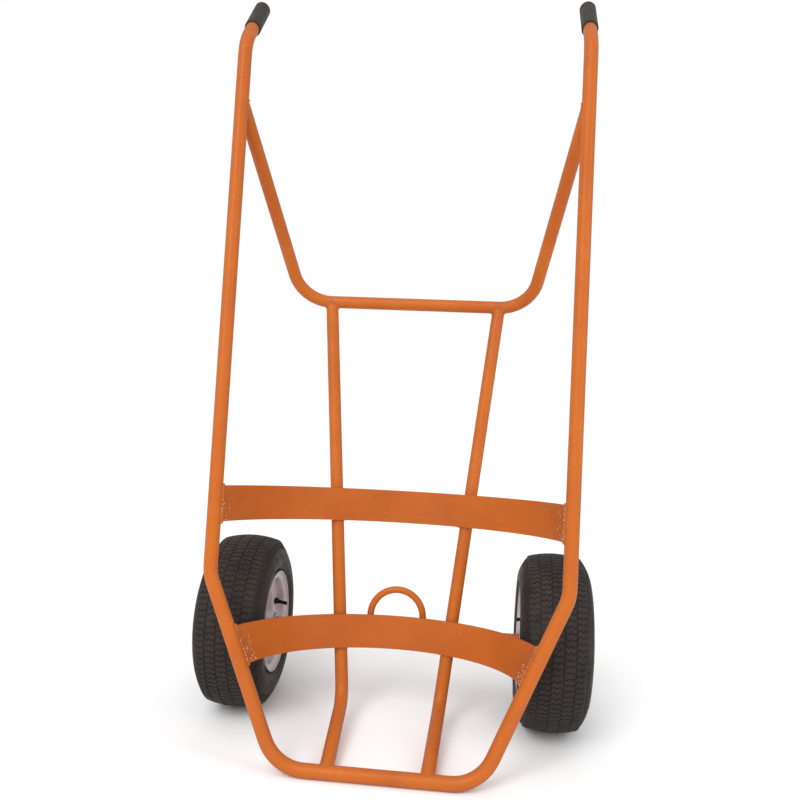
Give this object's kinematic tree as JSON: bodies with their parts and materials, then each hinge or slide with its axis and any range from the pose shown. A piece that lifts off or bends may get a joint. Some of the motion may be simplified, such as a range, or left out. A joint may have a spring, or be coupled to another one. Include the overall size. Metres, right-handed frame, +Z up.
{
  "type": "root ball cart",
  "caption": "Tall root ball cart: a bent tube frame that leans back on fat tyres and a nose bar, with curved cradle plates, a handle brace and a tie-down loop.",
  "frame": {"origin": "on the floor under the middle of the cart's bounding box, with the cart standing on its nose bar and both tyres", "axes": "+Z up, +X across to the user's right when facing the load side from the front, +Y towards the handles and wheels; the load lies at -Y"},
  "size_m": [0.895, 0.5496, 1.6444],
  "materials": {
    "frame_paint": "orange enamel, semi-gloss",
    "plate_paint": "orange enamel, semi-gloss",
    "rim_paint": "white enamel",
    "tyre_rubber": "moulded turf tread",
    "grip_vinyl": "dipped black vinyl",
    "valve_rubber": "black rubber",
    "seal_rubber": "black rubber",
    "zinc_steel": "zinc plated",
    "bearing_steel": "ground steel"
  },
  "bodies": {
    "frame": {"axle": "frame_paint", "bearing_inner_race_inboard_left": "bearing_steel", "bearing_inner_race_inboard_right": "bearing_steel", "bearing_inner_race_outboard_left": "bearing_steel", "bearing_inner_race_outboard_right": "bearing_steel", "cradle_plate_lower": "plate_paint", "cradle_plate_upper": "plate_paint", "grip_left": "grip_vinyl", "grip_right": "grip_vinyl", "handle_brace_tube": "frame_paint", "inner_rail_left": "frame_paint", "inner_rail_right": "frame_paint", "main_frame_tube": "frame_paint", "split_pin_inboard_left": "zinc_steel", "split_pin_inboard_right": "zinc_steel", "split_pin_outboard_left": "zinc_steel", "split_pin_outboard_right": "zinc_steel", "tie_down_loop": "frame_paint", "washer_inboard_left": "zinc_steel", "washer_inboard_right": "zinc_steel", "washer_outboard_left": "zinc_steel", "washer_outboard_right": "zinc_steel"},
    "wheel_left": {"bearing_balls_inboard_left": "bearing_steel", "bearing_balls_outboard_left": "bearing_steel", "bearing_outer_race_inboard_left": "bearing_steel", "bearing_outer_race_outboard_left": "bearing_steel", "bearing_seal_inboard_left": "seal_rubber", "bearing_seal_outboard_left": "seal_rubber", "hub_left": "rim_paint", "rim_left": "rim_paint", "tyre_left": "tyre_rubber", "valve_cap_left": "valve_rubber", "valve_stem_left": "valve_rubber", "wheel_disc_left": "rim_paint"},
    "wheel_right": {"bearing_balls_inboard_right": "bearing_steel", "bearing_balls_outboard_right": "bearing_steel", "bearing_outer_race_inboard_right": "bearing_steel", "bearing_outer_race_outboard_right": "bearing_steel", "bearing_seal_inboard_right": "seal_rubber", "bearing_seal_outboard_right": "seal_rubber", "hub_right": "rim_paint", "rim_right": "rim_paint", "tyre_right": "tyre_rubber", "valve_cap_right": "valve_rubber", "valve_stem_right": "valve_rubber", "wheel_disc_right": "rim_paint"}
  },
  "joints": [
    {"name": "wheel_left_spin", "type": "hinge", "parent": "frame", "child": "wheel_left", "pos_m": [-0.362, 0.05466, 0.2], "axis": [1, 0, 0], "continuous": true},
    {"name": "wheel_right_spin", "type": "hinge", "parent": "frame", "child": "wheel_right", "pos_m": [0.362, 0.05466, 0.2], "axis": [1, 0, 0], "continuous": true}
  ]
}
